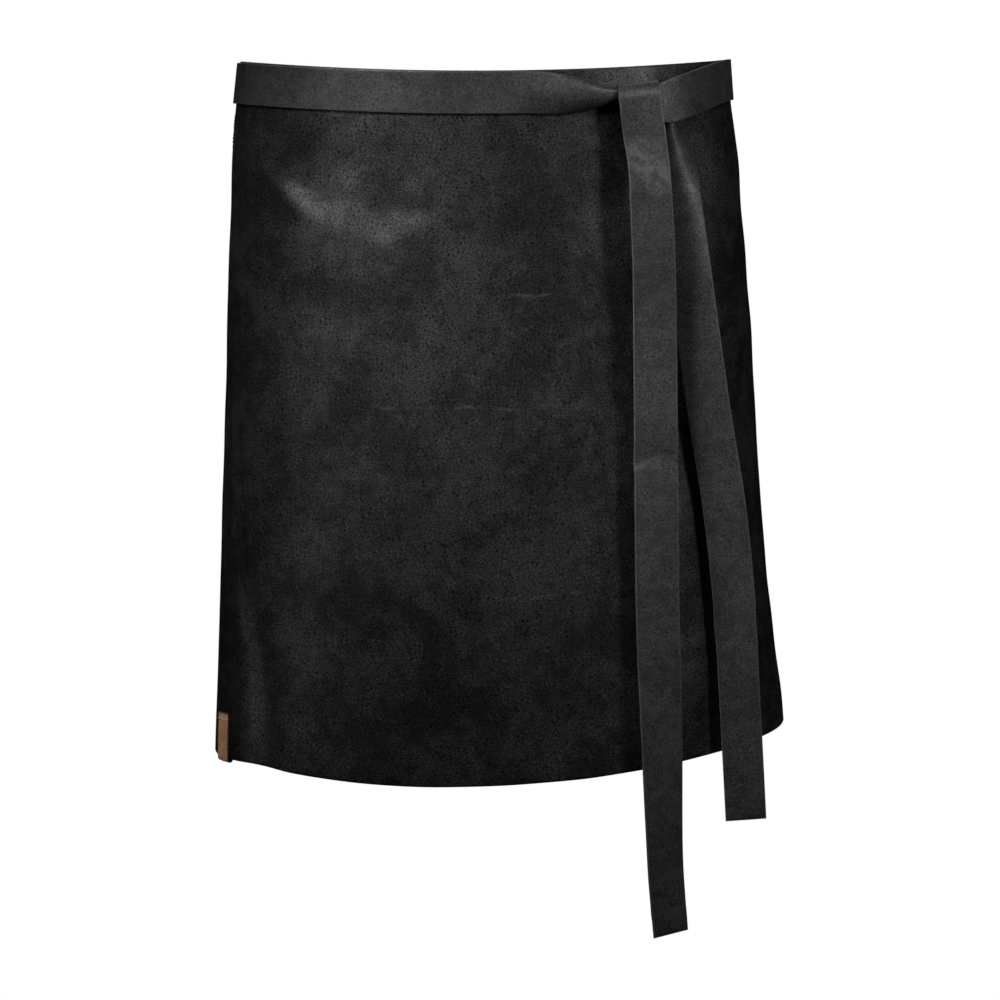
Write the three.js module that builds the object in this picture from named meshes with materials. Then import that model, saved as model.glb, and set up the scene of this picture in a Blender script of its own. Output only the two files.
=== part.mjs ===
import * as THREE from 'three';

// A leather waist apron in its worn form, in millimetres. +Z is up and the front faces -Y. The origin is
// in the middle of the waist opening, level with the middle of the waist strap at the front.

const LEATHER = 1.6;
const GAP = 0.8;
const PANEL_LEFT = -264;
const PANEL_RIGHT = 349;
const PANEL_DROP = 517;
const PANEL_COLUMNS = 60;
const TIE_SPLITS = 8;
const LABEL_THICK = 1.2;
const LABEL_WIDE = 20;
const LABEL_TALL = 34;
const LABEL_AT = -218;
const LABEL_GAP = 0.3;
const BLACK_LEATHER = 0x26262a;
const BROWN_LEATHER = 0x7a4a30;

// Waist and hip that the leather hangs round: half-widths and depths by drop below the panel's top edge.
const SECTIONS = [
  { drop: 0, left: 180.5, right: 180, front: 107.2, back: 96 },
  { drop: 32, left: 184, right: 182.5, front: 109.6, back: 98 },
  { drop: 55, left: 186.2, right: 185.5, front: 111, back: 100 },
  { drop: 140, left: 190, right: 193.5, front: 114, back: 103 },
  { drop: 260, left: 194.5, right: 202, front: 116.5, back: 107 },
  { drop: 370, left: 198.5, right: 210, front: 117.5, back: 111 },
  { drop: 450, left: 201.7, right: 218.5, front: 117.6, back: 114 },
  { drop: 517, left: 204.5, right: 226.5, front: 117.2, back: 117 },
  { drop: 660, left: 209, right: 241, front: 116.5, back: 122 },
];
const SQUARENESS = 2.2;

// Heights of the panel's two long edges: at the front centre, rise to the sides, rise from left to right.
const TOP_EDGE = { middle: 13.3, bow: 7.8, lean: 0.6 };
const HEM = { middle: -502, bow: 20.5, lean: 8.4 };
// The left corner of the hem hangs lower, growing between two places round the form.
const CORNER_SAG = { high: 6, from: -178, full: -238 };

// A crooked upright fold near the left side: by drop, the place of its line round the form, and the
// half-width and height of the ridge left of the line and of the valley right of it.
const FOLD = [
  { drop: 230, round: -208, wide: 6, high: 0 },
  { drop: 292, round: -204, wide: 6, high: 0.8 },
  { drop: 378, round: -198, wide: 7, high: 1.3 },
  { drop: 418, round: -186, wide: 10, high: 1.6 },
  { drop: 454, round: -182, wide: 12, high: 1.8 },
  { drop: PANEL_DROP, round: -180, wide: 13, high: 1.8 },
];

// The leather is drawn in under the waist strap and breaks outwards over the hip on a shelf. By place round
// the form: the drops where the shelf begins and ends, and its height.
const SHELF = [
  { round: -170, from: 74, to: 80, high: 0 },
  { round: -158, from: 78, to: 88, high: 1.2 },
  { round: -140, from: 82, to: 102, high: 3.2 },
  { round: -126, from: 86, to: 112, high: 3.2 },
  { round: -110, from: 90, to: 118, high: 2.8 },
  { round: -74, from: 93, to: 128, high: 2.8 },
  { round: -45, from: 97, to: 114, high: 1.4 },
  { round: -26, from: 98, to: 106, high: 0.6 },
  { round: 8, from: 98, to: 106, high: 0 },
];
// The leather goes in by half the shelf's height between these drops, and the shelf dies out between those.
const DRAWN_IN = { from: 38, to: 78 };
const DIES_OUT = { from: 130, to: 330 };

const PANEL_ROWS = [0, 16, 33, 55, 78, 95, 110, 126, 155, 200, 260, 320, 380, 435, 480, PANEL_DROP];

function smooth(x) {
  const u = Math.min(1, Math.max(0, x));
  return u * u * (3 - 2 * u);
}

// Value of one column of a table, on a smooth curve through its rows that never overshoots them.
function column(rows, by, key, at) {
  const steep = (i) => (rows[i + 1][key] - rows[i][key]) / (rows[i + 1][by] - rows[i][by]);
  const slope = (i) => {
    if (i === 0) return steep(0);
    if (i === rows.length - 1) return steep(i - 1);
    const a = steep(i - 1);
    const b = steep(i);
    return a * b > 0 ? (2 * a * b) / (a + b) : 0;
  };
  let k = 0;
  while (k < rows.length - 2 && at > rows[k + 1][by]) k += 1;
  const span = rows[k + 1][by] - rows[k][by];
  const u = (at - rows[k][by]) / span;
  if (u < 0) return rows[0][key] + slope(0) * u * span;
  const v = u * u * (3 - 2 * u);
  const bend = slope(k) * u * (1 - u) * (1 - u) - slope(k + 1) * u * u * (1 - u);
  return rows[k][key] * (1 - v) + rows[k + 1][key] * v + span * bend;
}

// Point on the outer face of the form, a given length round from the front centre and drop below the top.
function form(round, drop) {
  const left = column(SECTIONS, 'drop', 'left', drop);
  const right = column(SECTIONS, 'drop', 'right', drop);
  const front = column(SECTIONS, 'drop', 'front', drop);
  const back = column(SECTIONS, 'drop', 'back', drop);
  const power = 2 / SQUARENESS;
  const spot = (angle) => {
    const s = Math.sin(angle);
    const c = Math.cos(angle);
    const half = s < 0 ? left : right;
    const depth = c > 0 ? front : back;
    return [Math.sign(s) * half * Math.abs(s) ** power, -Math.sign(c) * depth * Math.abs(c) ** power, half];
  };
  const step = (Math.sign(round) || 1) * 0.01;
  let angle = 0;
  let walked = 0;
  let here = spot(0);
  let next = here;
  let length = 0;
  while (walked <= Math.abs(round)) {
    here = next;
    angle += step;
    next = spot(angle);
    length = Math.hypot(next[0] - here[0], next[1] - here[1]);
    walked += length;
  }
  const u = 1 - (walked - Math.abs(round)) / length;
  const x = here[0] + (next[0] - here[0]) * u;
  const y = here[1] + (next[1] - here[1]) * u;
  const aside = x / next[2];
  const top = TOP_EDGE.middle + TOP_EDGE.bow * aside * aside + TOP_EDGE.lean * aside;
  const sag = CORNER_SAG.high * smooth((round - CORNER_SAG.from) / (CORNER_SAG.full - CORNER_SAG.from));
  const hem = HEM.middle + HEM.bow * aside * aside + HEM.lean * aside - sag;
  return new THREE.Vector3(x, y, top + ((hem - top) * drop) / PANEL_DROP);
}

// Directions at a place on the form: round to the right, out of the face, and up.
function compass(round, drop) {
  const along = form(round + 3, drop).sub(form(round - 3, drop)).normalize();
  const down = form(round, drop + 3).sub(form(round, drop - 3));
  const out = new THREE.Vector3().crossVectors(down, along).normalize();
  const up = new THREE.Vector3().crossVectors(out, along);
  return { along, out, up };
}

// A place in the form's own terms as a point in space.
function place(round, out, drop) {
  return form(round, drop).addScaledVector(compass(round, drop).out, out);
}

// Share of the way from one drop to another.
function between(drop, span) {
  return smooth((drop - span.from) / (span.to - span.from));
}

// How far the panel stands off the form at a place: its soft folds, and the shelf over the hip.
function fold(round, drop) {
  const down = Math.min(PANEL_DROP, Math.max(FOLD[0].drop, drop));
  const off = (round - column(FOLD, 'drop', 'round', down)) / column(FOLD, 'drop', 'wide', down);
  const crease = Math.exp(-((off + 1) ** 2)) - Math.exp(-((off - 1) ** 2));
  const high = column(FOLD, 'drop', 'high', down) * crease;
  const at = Math.min(SHELF[SHELF.length - 1].round, Math.max(SHELF[0].round, round));
  const shelf = { from: column(SHELF, 'round', 'from', at), to: column(SHELF, 'round', 'to', at) };
  const step = between(drop, shelf) - 0.5 * between(drop, DRAWN_IN);
  return high + column(SHELF, 'round', 'high', at) * step * (1 - between(drop, DIES_OUT));
}

// Closed leather sheet on a grid of middle points, each with the way its face looks.
function sheet(name, grid, thick, colour) {
  const rows = grid.length;
  const cols = grid[0].length;
  const spots = [];
  for (const side of [0.5, -0.5]) {
    for (const row of grid) {
      for (const knot of row) {
        spots.push(...knot.at.clone().addScaledVector(knot.facing, side * thick).toArray());
      }
    }
  }
  const id = (side, i, j) => (side * rows + i) * cols + j;
  const faces = [];
  const quad = (a, b, c, d) => faces.push(a, b, c, a, c, d);
  const end = rows - 1;
  const rim = cols - 1;
  for (let i = 0; i < end; i += 1) {
    for (let j = 0; j < rim; j += 1) {
      quad(id(0, i, j), id(0, i + 1, j), id(0, i + 1, j + 1), id(0, i, j + 1));
      quad(id(1, i, j), id(1, i, j + 1), id(1, i + 1, j + 1), id(1, i + 1, j));
    }
    quad(id(0, i + 1, 0), id(0, i, 0), id(1, i, 0), id(1, i + 1, 0));
    quad(id(0, i, rim), id(0, i + 1, rim), id(1, i + 1, rim), id(1, i, rim));
  }
  for (let j = 0; j < rim; j += 1) {
    quad(id(0, 0, j), id(0, 0, j + 1), id(1, 0, j + 1), id(1, 0, j));
    quad(id(0, end, j + 1), id(0, end, j), id(1, end, j), id(1, end, j + 1));
  }
  const shape = new THREE.BufferGeometry();
  shape.setAttribute('position', new THREE.Float32BufferAttribute(spots, 3));
  shape.setIndex(faces);
  shape.computeVertexNormals();
  const mesh = new THREE.Mesh(shape, new THREE.MeshStandardMaterial({ color: colour, roughness: 0.6 }));
  mesh.name = name;
  return mesh;
}

// Panel: one sheet from the left edge round the front to the right edge, top to hem.
function panel() {
  const grid = PANEL_ROWS.map((drop) => {
    const row = [];
    for (let j = 0; j <= PANEL_COLUMNS; j += 1) {
      const round = PANEL_LEFT + ((PANEL_RIGHT - PANEL_LEFT) * j) / PANEL_COLUMNS;
      const facing = compass(round, drop).out;
      row.push({ at: place(round, fold(round, drop) - LEATHER / 2, drop), facing });
    }
    return row;
  });
  return sheet('apron_panel', grid, LEATHER, BLACK_LEATHER);
}

// Ties: a row is a place of the strap's middle line. The width points along (aside, fore, rise), the strap's
// edges are rolled towards the body by curl degrees, and cuts is the number of pieces up to the next row.
const LAID = GAP + LEATHER / 2;
const SEWN = -LEATHER - 0.9 - LEATHER / 2;

// From the root inside the panel's right rear corner, round the back and the left side, across the front,
// rolled up through the knot, and down behind the other tie.
const LEFT_TIE = [
  { round: -645, out: SEWN, drop: 52, aside: 0, fore: 0, rise: 1, wide: 30, curl: 0, cuts: 4 },
  { round: -592, out: SEWN, drop: 51, aside: 0, fore: 0, rise: 1, wide: 30, curl: 0, cuts: 4 },
  { round: -545, out: -0.6, drop: 49, aside: 0, fore: 0, rise: 1, wide: 30, curl: 0, cuts: 5 },
  { round: -431, out: -0.8, drop: 33, aside: 0, fore: 0, rise: 1, wide: 30, curl: 0, cuts: 5 },
  { round: -340, out: -0.6, drop: 18.5, aside: 0, fore: 0, rise: 1, wide: 30, curl: 0, cuts: 4 },
  { round: -288, out: LAID, drop: 16.6, aside: 0, fore: 0, rise: 1, wide: 30, curl: 0, cuts: 13 },
  { round: -140, out: LAID, drop: 16, aside: 0, fore: 0, rise: 1, wide: 30, curl: 0, cuts: 6 },
  { round: 0, out: LAID, drop: 15.8, aside: 0, fore: 0, rise: 1, wide: 30, curl: 3, cuts: 2 },
  { round: 26, out: 2.6, drop: 15.9, aside: 0, fore: 0, rise: 1, wide: 30, curl: 20, cuts: 2 },
  { round: 43, out: 4.6, drop: 16.9, aside: 0, fore: 0, rise: 1, wide: 30, curl: 45, cuts: 2 },
  { round: 54, out: 7, drop: 17.8, aside: 0, fore: 0, rise: 1, wide: 30, curl: 85, cuts: 2 },
  { round: 63.5, out: 9, drop: 18.7, aside: 0, fore: 0, rise: 1, wide: 30, curl: 120, cuts: 2 },
  { round: 72.5, out: 10.8, drop: 19.5, aside: 0, fore: 0, rise: 1, wide: 30, curl: 160, cuts: 2 },
  { round: 80.5, out: 12.3, drop: 20.3, aside: 0, fore: 0, rise: 1, wide: 29, curl: 220, cuts: 2 },
  { round: 86.5, out: 13, drop: 20.4, aside: 0, fore: 0, rise: 1, wide: 27, curl: 290, cuts: 2 },
  { round: 92, out: 13.3, drop: 20.2, aside: 0, fore: 0, rise: 1, wide: 23.5, curl: 335, cuts: 2 },
  { round: 107.5, out: 13.4, drop: 20.2, aside: 0, fore: 0, rise: 1, wide: 23, curl: 345, cuts: 2 },
  { round: 117.5, out: 13.6, drop: 20.8, aside: 0, fore: 0, rise: 1, wide: 25, curl: 345, cuts: 2 },
  { round: 125, out: 13.9, drop: 23.2, aside: 0.5, fore: 0, rise: 0.87, wide: 25.5, curl: 340, cuts: 2 },
  { round: 130.3, out: 14, drop: 28.7, aside: 0.87, fore: 0, rise: 0.5, wide: 26, curl: 330, cuts: 2 },
  { round: 132.3, out: 14, drop: 36, aside: 1, fore: 0, rise: 0, wide: 27, curl: 310, cuts: 2 },
  { round: 132.5, out: 14, drop: 46, aside: 1, fore: 0, rise: 0, wide: 29, curl: 250, cuts: 3 },
  { round: 134.2, out: 13.6, drop: 59, aside: 1, fore: 0.2, rise: 0, wide: 30, curl: 145, cuts: 2 },
  { round: 135.4, out: 13.6, drop: 70, aside: 1, fore: 0.3, rise: 0, wide: 31, curl: 105, cuts: 2 },
  { round: 137.4, out: 14, drop: 85, aside: 1, fore: 0.4, rise: 0, wide: 31, curl: 75, cuts: 2 },
  { round: 138.6, out: 14.6, drop: 100.5, aside: 1, fore: 0.46, rise: 0, wide: 31, curl: 50, cuts: 3 },
  { round: 147.1, out: 17.4, drop: 174.8, aside: 1, fore: 0.56, rise: 0, wide: 31, curl: 20, cuts: 4 },
  { round: 157.6, out: 18.5, drop: 252.2, aside: 1, fore: 0.62, rise: 0, wide: 31.5, curl: 6, cuts: 4 },
  { round: 170.7, out: 18.5, drop: 328.9, aside: 1, fore: 0.7, rise: 0, wide: 31.5, curl: 6, cuts: 4 },
  { round: 179.7, out: 18, drop: 405.8, aside: 1, fore: 0.7, rise: 0, wide: 31, curl: 6, cuts: 4 },
  { round: 184.5, out: 17.5, drop: 481.6, aside: 1, fore: 0.64, rise: 0, wide: 30, curl: 6, cuts: 4 },
  { round: 189.7, out: 17, drop: 568.9, aside: 1, fore: 0.54, rise: 0, wide: 30, curl: 6, cuts: 1 },
];

// From the root inside the panel's left rear corner, round the back and the right side, in front of the other
// tie, once round it from below, and down in front.
const RIGHT_TIE = [
  { round: 730, out: SEWN, drop: 52, aside: 0, fore: 0, rise: -1, wide: 30, curl: 0, cuts: 4 },
  { round: 675, out: SEWN, drop: 51, aside: 0, fore: 0, rise: -1, wide: 30, curl: 0, cuts: 4 },
  { round: 630, out: 1.8, drop: 49, aside: 0, fore: 0, rise: -1, wide: 30, curl: 0, cuts: 5 },
  { round: 516, out: 2.4, drop: 33, aside: 0, fore: 0, rise: -1, wide: 30, curl: 0, cuts: 5 },
  { round: 400, out: 2.2, drop: 17.5, aside: 0, fore: 0, rise: -1, wide: 30, curl: 0, cuts: 4 },
  { round: 360, out: LAID, drop: 16.5, aside: 0, fore: 0, rise: -1, wide: 30, curl: 0, cuts: 10 },
  { round: 250, out: LAID, drop: 15.3, aside: 0, fore: 0, rise: -1, wide: 30, curl: 0, cuts: 4 },
  { round: 212, out: LAID, drop: 15.3, aside: 0, fore: 0, rise: -1, wide: 30, curl: 0, cuts: 2 },
  { round: 193.5, out: 2.4, drop: 16, aside: 0, fore: 0, rise: -1, wide: 30, curl: 0, cuts: 2 },
  { round: 180, out: 4.4, drop: 17.3, aside: 0, fore: 0, rise: -1, wide: 30, curl: 0, cuts: 2 },
  { round: 157.7, out: 10.6, drop: 20.8, aside: 0, fore: 0, rise: -1, wide: 30.5, curl: 0, cuts: 2 },
  { round: 145.3, out: 15.3, drop: 23.4, aside: 0, fore: 0, rise: -1, wide: 30.5, curl: 0, cuts: 2 },
  { round: 136.1, out: 17, drop: 25.6, aside: 0, fore: 0, rise: -1, wide: 30.5, curl: 0, cuts: 2 },
  { round: 127.5, out: 17.2, drop: 28.2, aside: 0, fore: 0, rise: -1, wide: 30.5, curl: 0, cuts: 2 },
  { round: 119.5, out: 16.9, drop: 28.3, aside: 0.25, fore: 0, rise: -0.97, wide: 25, curl: 0, cuts: 2 },
  { round: 112.5, out: 15.2, drop: 29.5, aside: 0.6, fore: -0.25, rise: -0.75, wide: 21, curl: 0, cuts: 2 },
  { round: 109, out: 12, drop: 30.5, aside: 0.9, fore: -0.2, rise: -0.35, wide: 20, curl: 0, cuts: 2 },
  { round: 107.8, out: 8.2, drop: 29, aside: 1, fore: 0, rise: 0, wide: 20, curl: 0, cuts: 2 },
  { round: 107.5, out: 4.3, drop: 25, aside: 1, fore: 0, rise: 0, wide: 22, curl: 0, cuts: 2 },
  { round: 107.5, out: 2.8, drop: 20, aside: 1, fore: 0, rise: 0, wide: 26, curl: 0, cuts: 2 },
  { round: 107.4, out: 4.6, drop: 15.2, aside: 1, fore: 0, rise: 0, wide: 29, curl: 0, cuts: 2 },
  { round: 107.2, out: 9.2, drop: 13.2, aside: 1, fore: 0, rise: 0.08, wide: 30, curl: 0, cuts: 2 },
  { round: 106.4, out: 15.5, drop: 14.6, aside: 1, fore: 0.1, rise: 0.08, wide: 30, curl: 0, cuts: 2 },
  { round: 105.4, out: 19.7, drop: 18.6, aside: 1, fore: 0.17, rise: 0.08, wide: 30, curl: 0, cuts: 2 },
  { round: 104.7, out: 22.3, drop: 24.2, aside: 1, fore: 0.19, rise: 0.05, wide: 30.5, curl: 0, cuts: 2 },
  { round: 105.2, out: 23.9, drop: 33.5, aside: 1, fore: 0.2, rise: 0, wide: 30.5, curl: 0, cuts: 2 },
  { round: 107, out: 25.1, drop: 50.3, aside: 1, fore: 0.28, rise: 0, wide: 30.5, curl: 0, cuts: 2 },
  { round: 108.4, out: 27.7, drop: 66, aside: 1, fore: 0.33, rise: 0, wide: 29.5, curl: 0, cuts: 2 },
  { round: 109.2, out: 29.5, drop: 79, aside: 1, fore: 0.33, rise: 0, wide: 29.7, curl: 0, cuts: 2 },
  { round: 109.9, out: 30.4, drop: 94.8, aside: 1, fore: 0.32, rise: 0, wide: 30, curl: 0, cuts: 2 },
  { round: 112, out: 29.4, drop: 130, aside: 1, fore: 0.31, rise: 0, wide: 30.5, curl: 0, cuts: 2 },
  { round: 114.5, out: 26, drop: 169.4, aside: 1, fore: 0.3, rise: 0, wide: 31, curl: 0, cuts: 4 },
  { round: 118.4, out: 20.2, drop: 281.2, aside: 1, fore: 0.3, rise: 0, wide: 31.5, curl: 0, cuts: 4 },
  { round: 121.3, out: 17.2, drop: 393.3, aside: 1, fore: 0.3, rise: 0, wide: 31.5, curl: 0, cuts: 4 },
  { round: 126, out: 15.2, drop: 501.4, aside: 1, fore: 0, rise: 0, wide: 31, curl: 0, cuts: 4 },
  { round: 129.4, out: 14, drop: 587, aside: 1, fore: -0.25, rise: 0, wide: 30.5, curl: 0, cuts: 3 },
  { round: 134.1, out: 13, drop: 641, aside: 1, fore: -0.27, rise: 0, wide: 30, curl: 0, cuts: 1 },
];

// One row of points across a strap, flat or with both edges rolled back about its middle line.
function across(middle, width, facing, wide, curl) {
  const row = [];
  const rolled = curl > 0.01;
  const radius = rolled ? wide / curl : 0;
  for (let j = 0; j <= TIE_SPLITS; j += 1) {
    const part = j / TIE_SPLITS - 0.5;
    const angle = rolled ? part * curl : 0;
    const side = rolled ? radius * Math.sin(angle) : part * wide;
    const sink = radius * (1 - Math.cos(angle));
    const at = middle.clone().addScaledVector(width, side).addScaledVector(facing, -sink);
    const look = facing.clone().multiplyScalar(Math.cos(angle)).addScaledVector(width, Math.sin(angle));
    row.push({ at, facing: look });
  }
  return row;
}

function tie(name, table) {
  let run = 0;
  const rows = table.map((row, k) => {
    const prior = table[Math.max(0, k - 1)];
    run += Math.hypot(row.round - prior.round, row.out - prior.out, row.drop - prior.drop);
    return { ...row, run };
  });
  const read = (key, at) => column(rows, 'run', key, at);
  const middle = (at) => place(read('round', at), read('out', at), read('drop', at));
  const grid = [];
  const station = (at) => {
    const { along, out, up } = compass(read('round', at), read('drop', at));
    const way = middle(Math.min(run, at + 0.1)).sub(middle(Math.max(0, at - 0.1))).normalize();
    const width = along.multiplyScalar(read('aside', at));
    width.addScaledVector(out, read('fore', at)).addScaledVector(up, read('rise', at));
    width.addScaledVector(way, -width.dot(way)).normalize();
    const facing = new THREE.Vector3().crossVectors(way, width);
    const curl = THREE.MathUtils.degToRad(read('curl', at));
    grid.push(across(middle(at), width, facing, read('wide', at), curl));
  };
  for (let k = 0; k < rows.length - 1; k += 1) {
    for (let m = 0; m < rows[k].cuts; m += 1) {
      station(rows[k].run + ((rows[k + 1].run - rows[k].run) * m) / rows[k].cuts);
    }
  }
  station(run);
  return sheet(name, grid, LEATHER, BLACK_LEATHER);
}

// Label: a leather tab laid on the outer face, folded round the hem and up the inner face.
function label() {
  const front = LABEL_GAP + LABEL_THICK / 2;
  const back = -LEATHER - 2 * LABEL_GAP - LABEL_THICK / 2;
  const radius = (front - back) / 2;
  const path = [];
  for (let k = 0; k < 3; k += 1) {
    path.push({ out: front, drop: PANEL_DROP - LABEL_TALL * (1 - k / 3), turn: 0 });
  }
  for (let k = 0; k <= 6; k += 1) {
    const turn = (Math.PI * k) / 6;
    const out = (front + back) / 2 + radius * Math.cos(turn);
    path.push({ out, drop: PANEL_DROP + 0.4 + radius * Math.sin(turn), turn });
  }
  for (let k = 1; k < 4; k += 1) {
    path.push({ out: back, drop: PANEL_DROP - (LABEL_TALL * k) / 3, turn: Math.PI });
  }
  const grid = path.map(({ out, drop, turn }) => {
    const row = [];
    for (let j = 0; j <= 4; j += 1) {
      const round = LABEL_AT + LABEL_WIDE * (j / 4 - 0.5);
      const to = compass(round, drop);
      const facing = to.out.multiplyScalar(Math.cos(turn)).addScaledVector(to.up, -Math.sin(turn));
      row.push({ at: place(round, out + fold(round, drop), drop), facing });
    }
    return row;
  });
  return sheet('hem_label', grid, LABEL_THICK, BROWN_LEATHER);
}

const apron = new THREE.Group();
apron.name = 'waist_apron';
apron.add(panel());
apron.add(tie('left_tie', LEFT_TIE));
apron.add(tie('right_tie', RIGHT_TIE));
apron.add(label());
export default apron;
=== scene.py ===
import math

import bpy
import numpy as np
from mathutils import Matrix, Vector


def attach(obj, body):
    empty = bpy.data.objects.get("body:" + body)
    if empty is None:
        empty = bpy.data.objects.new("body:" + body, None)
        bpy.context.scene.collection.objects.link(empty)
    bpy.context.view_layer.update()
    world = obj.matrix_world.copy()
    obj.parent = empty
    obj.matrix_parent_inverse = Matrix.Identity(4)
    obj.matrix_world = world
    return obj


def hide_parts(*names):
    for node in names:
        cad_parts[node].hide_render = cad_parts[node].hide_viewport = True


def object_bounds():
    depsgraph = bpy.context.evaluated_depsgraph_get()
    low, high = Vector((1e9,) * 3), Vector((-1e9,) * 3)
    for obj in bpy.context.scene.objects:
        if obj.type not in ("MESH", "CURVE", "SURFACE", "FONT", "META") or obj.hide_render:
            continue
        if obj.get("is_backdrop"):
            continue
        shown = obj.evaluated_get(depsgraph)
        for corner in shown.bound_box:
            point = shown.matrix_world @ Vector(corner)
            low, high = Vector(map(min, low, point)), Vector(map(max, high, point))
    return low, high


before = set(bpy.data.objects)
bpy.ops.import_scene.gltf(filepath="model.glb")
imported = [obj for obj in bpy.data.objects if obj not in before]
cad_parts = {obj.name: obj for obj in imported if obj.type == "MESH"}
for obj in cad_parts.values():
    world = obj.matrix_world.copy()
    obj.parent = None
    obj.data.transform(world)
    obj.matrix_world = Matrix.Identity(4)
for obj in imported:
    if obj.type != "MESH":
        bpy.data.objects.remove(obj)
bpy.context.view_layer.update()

# Apron panel: one piece of waxed black cowhide, 613 by 517 mm and 1.6 mm thick, with raw straight edges and
# no lining. It is wrapped round the hips, grain side out, and the straps tied round the waist hold it up.

# Places are in millimetres round the form from the front centre and below the top edge, as on the flat hide.
MM = 0.001
LEATHER = 1.6
PANEL_LEFT, PANEL_RIGHT, PANEL_DROP = -264.0, 349.0, 517.0
PANEL_COLUMNS, PANEL_ROWS = 230, 176
SQUARENESS = 2.2
# Drop below the top edge, half-widths to the left and right, and depths to the front and back of the hips.
HIPS = np.array([
    (0, 180.5, 180, 107.2, 96),
    (32, 184, 182.5, 109.6, 98),
    (55, 186.2, 185.5, 111, 100),
    (140, 190, 193.5, 114, 103),
    (260, 194.5, 202, 116.5, 107),
    (370, 198.5, 210, 117.5, 111),
    (450, 201.7, 218.5, 117.6, 114),
    (517, 204.5, 226.5, 117.2, 117),
    (660, 209, 241, 116.5, 122),
])
# Height at the front centre, rise to both sides, rise from left to right.
TOP_EDGE = (13.3, 7.8, 0.6)
HEM = (-502.0, 20.5, 8.4)
# The hem's left corner hangs lower by this much, growing between two places round the form.
CORNER_SAG = (6.0, -178.0, -238.0)
# A crooked upright fold near the left side: drop, place of its line round the form, and the half-width and
# height of the ridge left of the line and of the valley right of it.
FOLD = np.array([
    (230, -208, 6, 0),
    (292, -204, 6, 0.8),
    (378, -198, 7, 1.3),
    (418, -186, 10, 1.6),
    (454, -182, 12, 1.8),
    (PANEL_DROP, -180, 13, 1.8),
])
# The leather is drawn in under the waist strap and breaks outwards over the hip, on a shelf that widens from
# its left tip: where round the form, the drops where the shelf begins and ends, and its height.
SHELF = np.array([
    (-170, 74, 80, 0),
    (-158, 78, 88, 1.2),
    (-140, 82, 102, 3.2),
    (-126, 86, 112, 3.2),
    (-110, 90, 118, 2.8),
    (-74, 93, 128, 2.8),
    (-45, 97, 114, 1.4),
    (-26, 98, 106, 0.6),
    (8, 98, 106, 0),
])
# The leather goes in by a share of the shelf's height between two drops, and the shelf dies out between two
# others.
DRAWN_IN, DRAWN_SHARE = (38.0, 78.0), 0.5
DIES_OUT = (130.0, 330.0)
# Angles at which a section of the hips is walked round, and the step that gives the directions on the form.
TURNS = np.linspace(-5.6, 5.6, 2241)
NEARBY = 3


def smooth(x):
    u = np.clip(x, 0.0, 1.0)
    return u * u * (3 - 2 * u)


def curve(xs, ys, at):
    """Value at a place on a smooth curve through the points of a table that never overshoots them."""
    xs, ys, at = np.asarray(xs, float), np.asarray(ys, float), np.asarray(at, float)
    steep = np.diff(ys) / np.diff(xs)
    slope = np.concatenate([steep[:1], np.zeros(len(xs) - 2), steep[-1:]])
    a, b = steep[:-1], steep[1:]
    same = a * b > 0
    slope[1:-1][same] = 2 * a[same] * b[same] / (a + b)[same]
    k = np.clip(np.searchsorted(xs, at, side="left") - 1, 0, len(xs) - 2)
    gap = xs[k + 1] - xs[k]
    u = (at - xs[k]) / gap
    v = u * u * (3 - 2 * u)
    bend = slope[k] * u * (1 - u) ** 2 - slope[k + 1] * u * u * (1 - u)
    inside = ys[k] * (1 - v) + ys[k + 1] * v + gap * bend
    return np.where(u < 0, ys[0] + slope[0] * u * gap, inside)


def form(round_, drop):
    """Points on the outer face of the hips at lengths round from the front centre, all at one drop."""
    left, right, front, back = (float(curve(HIPS[:, 0], HIPS[:, k], drop)) for k in (1, 2, 3, 4))
    s, c = np.sin(TURNS), np.cos(TURNS)
    power = 2 / SQUARENESS
    x = np.sign(s) * np.where(s < 0, left, right) * np.abs(s) ** power
    y = -np.sign(c) * np.where(c > 0, front, back) * np.abs(c) ** power
    walked = np.concatenate([[0.0], np.cumsum(np.hypot(np.diff(x), np.diff(y)))])
    walked -= walked[len(TURNS) // 2]
    round_ = np.asarray(round_, float)
    px, py = np.interp(round_, walked, x), np.interp(round_, walked, y)
    aside = px / np.where(px < 0, left, right)
    top = TOP_EDGE[0] + TOP_EDGE[1] * aside**2 + TOP_EDGE[2] * aside
    sag = CORNER_SAG[0] * smooth((round_ - CORNER_SAG[1]) / (CORNER_SAG[2] - CORNER_SAG[1]))
    hem = HEM[0] + HEM[1] * aside**2 + HEM[2] * aside - sag
    return np.stack([px, py, top + (hem - top) * drop / PANEL_DROP], axis=-1)


def unit(v):
    return v / np.linalg.norm(v, axis=-1, keepdims=True)


def compass(round_, drop):
    """Directions on the form: round to the right, out of the face, and up."""
    round_ = np.asarray(round_, float)
    along = unit(form(round_ + NEARBY, drop) - form(round_ - NEARBY, drop))
    down = form(round_, drop + NEARBY) - form(round_, drop - NEARBY)
    out = unit(np.cross(down, along))
    return along, out, np.cross(out, along)


def place(round_, out, drop):
    return form(round_, drop) + compass(round_, drop)[1] * np.asarray(out, float)[..., None]


# Slow waves that the hide keeps from lying rolled: length, direction and phase of each. At the top and at the
# sides only a share of their height is left. It grows to all of it below a drop, and inwards from the sides.
WAVE_COUNT, WAVE_HEIGHT = 14, 0.16
WAVE_SHORT, WAVE_LONG = 46, 150
CALM_SHARE, CALM_DROP, CALM_TOP, CALM_SIDE = 0.12, 40, 50, 60
wave_draw = np.random.default_rng(11)
WAVES = [
    (
        wave_draw.uniform(WAVE_SHORT, WAVE_LONG),
        wave_draw.uniform(0, math.pi),
        wave_draw.uniform(0, 2 * math.pi),
    )
    for _ in range(WAVE_COUNT)
]


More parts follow.
